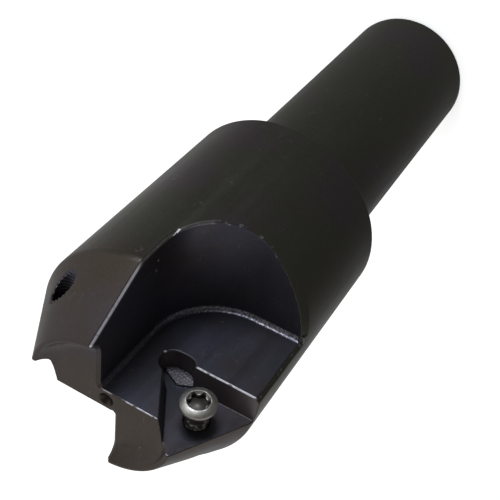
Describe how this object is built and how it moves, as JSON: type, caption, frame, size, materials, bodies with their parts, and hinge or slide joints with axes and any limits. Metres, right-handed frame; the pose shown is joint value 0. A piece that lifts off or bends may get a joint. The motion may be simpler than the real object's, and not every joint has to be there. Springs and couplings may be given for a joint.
{
  "type": "face mill",
  "caption": "Indexable chamfering face mill with a plain cylindrical shank, a conical cutting head, open chip flutes and empty insert pockets with their screws.",
  "frame": {"origin": "centre of the shank's end face", "axes": "+Z along the tool's axis from the shank to the cutting nose, +X outwards over tooth A's insert seat, +Y along tooth A's seat normal"},
  "size_m": [0.035, 0.035, 0.1077],
  "materials": {
    "black_oxide_steel": "hardened steel with a satin black oxide finish",
    "screw_steel": "plain bright steel"
  },
  "bodies": {
    "body": {"cutter_body": "black_oxide_steel"},
    "screw_a": {"insert_screw_a": "screw_steel"},
    "screw_b": {"insert_screw_b": "screw_steel"}
  },
  "joints": [
    {"name": "screw_a_travel", "type": "slide", "parent": "body", "child": "screw_a", "axis": [0, 1, 0], "range_m": [-0.0018, 0.0042]},
    {"name": "screw_b_travel", "type": "slide", "parent": "body", "child": "screw_b", "axis": [0, -1, 0], "range_m": [-0.0018, 0.0042]}
  ]
}
